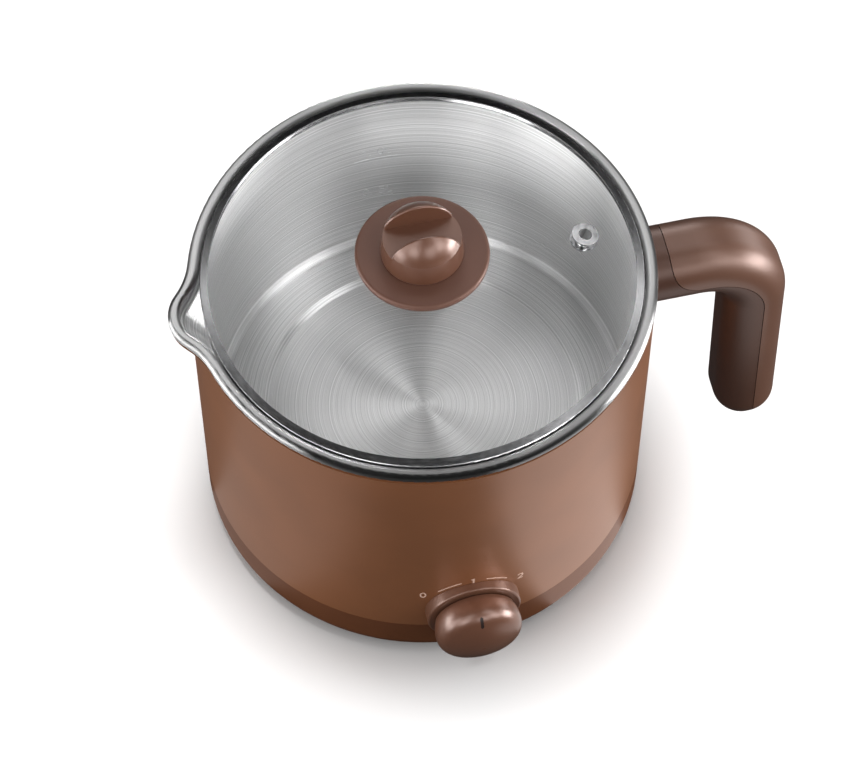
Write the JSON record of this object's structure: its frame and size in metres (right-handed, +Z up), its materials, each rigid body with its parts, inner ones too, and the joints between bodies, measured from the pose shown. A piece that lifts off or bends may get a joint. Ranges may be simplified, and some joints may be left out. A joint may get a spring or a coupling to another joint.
{
  "type": "electric hot pot",
  "caption": "Small electric hot pot: steel inner pot with a pouring spout, brown outer shell, hook handle, glass lid with a slotted knob, and a rotary heat control on the front.",
  "frame": {"origin": "centre of the foot ring's lower face, on the pot's axis at table height", "axes": "+Z up along the pot's axis, +X to the handle, -X to the pouring spout, -Y to the heat control, +Y to the power inlet"},
  "size_m": [0.2375, 0.192, 0.1716],
  "materials": {
    "pot_steel": "brushed stainless steel",
    "trim_steel": "satin stainless steel",
    "bright_steel": "polished",
    "fastener_steel": "zinc plated",
    "shell_brown": "satin metallic brown paint",
    "base_brown": "moulded satin brown",
    "handle_brown": "moulded soft satin brown",
    "handle_dark": "moulded darker satin brown",
    "knob_brown": "moulded semi-gloss brown",
    "flange_brown": "moulded satin brown",
    "bezel_brown": "moulded semi-gloss brown",
    "pointer_dark": "dark inlay",
    "clear_glass": "clear toughened glass",
    "seal_silicone": "dark silicone",
    "foot_rubber": "matt rubber",
    "spreader_aluminium": "cast",
    "shield_aluminium": "sheet",
    "element_steel": "sheath",
    "thermostat_body": "moulded pale body",
    "switch_plastic": "moulded black",
    "inlet_plastic": "moulded black",
    "terminal_brass": "bright",
    "wire_brown": "insulated wire",
    "wire_blue": "insulated wire",
    "wire_earth": "insulated wire",
    "wire_white": "insulated wire"
  },
  "bodies": {
    "pot": {"inner_pot": "pot_steel", "pot_studs": "fastener_steel", "rim_seal": "seal_silicone", "outer_shell": "shell_brown", "base_cover": "base_brown", "foot_ring": "foot_rubber", "base_screws": "fastener_steel", "heating_element": "element_steel", "heat_spreader": "spreader_aluminium", "thermostat": "thermostat_body", "thermal_fuse": "terminal_brass", "fuse_clip": "fastener_steel", "heat_shield": "shield_aluminium", "stud_nuts": "fastener_steel", "dial_bezel": "bezel_brown", "rotary_switch": "switch_plastic", "switch_nut": "fastener_steel", "inlet_housing": "inlet_plastic", "inlet_pins": "terminal_brass", "inlet_screws": "fastener_steel", "handle_base": "handle_dark", "handle_cover": "handle_brown", "handle_bracket": "fastener_steel", "handle_screws": "fastener_steel", "live_lead": "wire_brown", "switch_lead": "wire_white", "fuse_lead": "wire_white", "heater_lead": "wire_white", "neutral_lead": "wire_blue", "earth_lead": "wire_earth"},
    "knob": {"control_knob": "knob_brown", "knob_pointer": "pointer_dark", "switch_shaft": "bright_steel"},
    "lid": {"lid_glass": "clear_glass", "lid_band": "trim_steel", "vent_eyelet": "bright_steel", "lid_washer": "seal_silicone", "lid_knob_flange": "flange_brown", "lid_grip": "knob_brown", "grip_insert": "terminal_brass", "lower_washer": "seal_silicone", "lid_screw": "bright_steel"}
  },
  "joints": [
    {"name": "lid_lift", "type": "slide", "parent": "pot", "child": "lid", "axis": [0, 0, 1], "range_m": [0, 0.1]},
    {"name": "knob_turn", "type": "hinge", "parent": "pot", "child": "knob", "pos_m": [0, -0.0892, 0.036], "axis": [0, 1, 0], "range_deg": [-52, 52]}
  ]
}
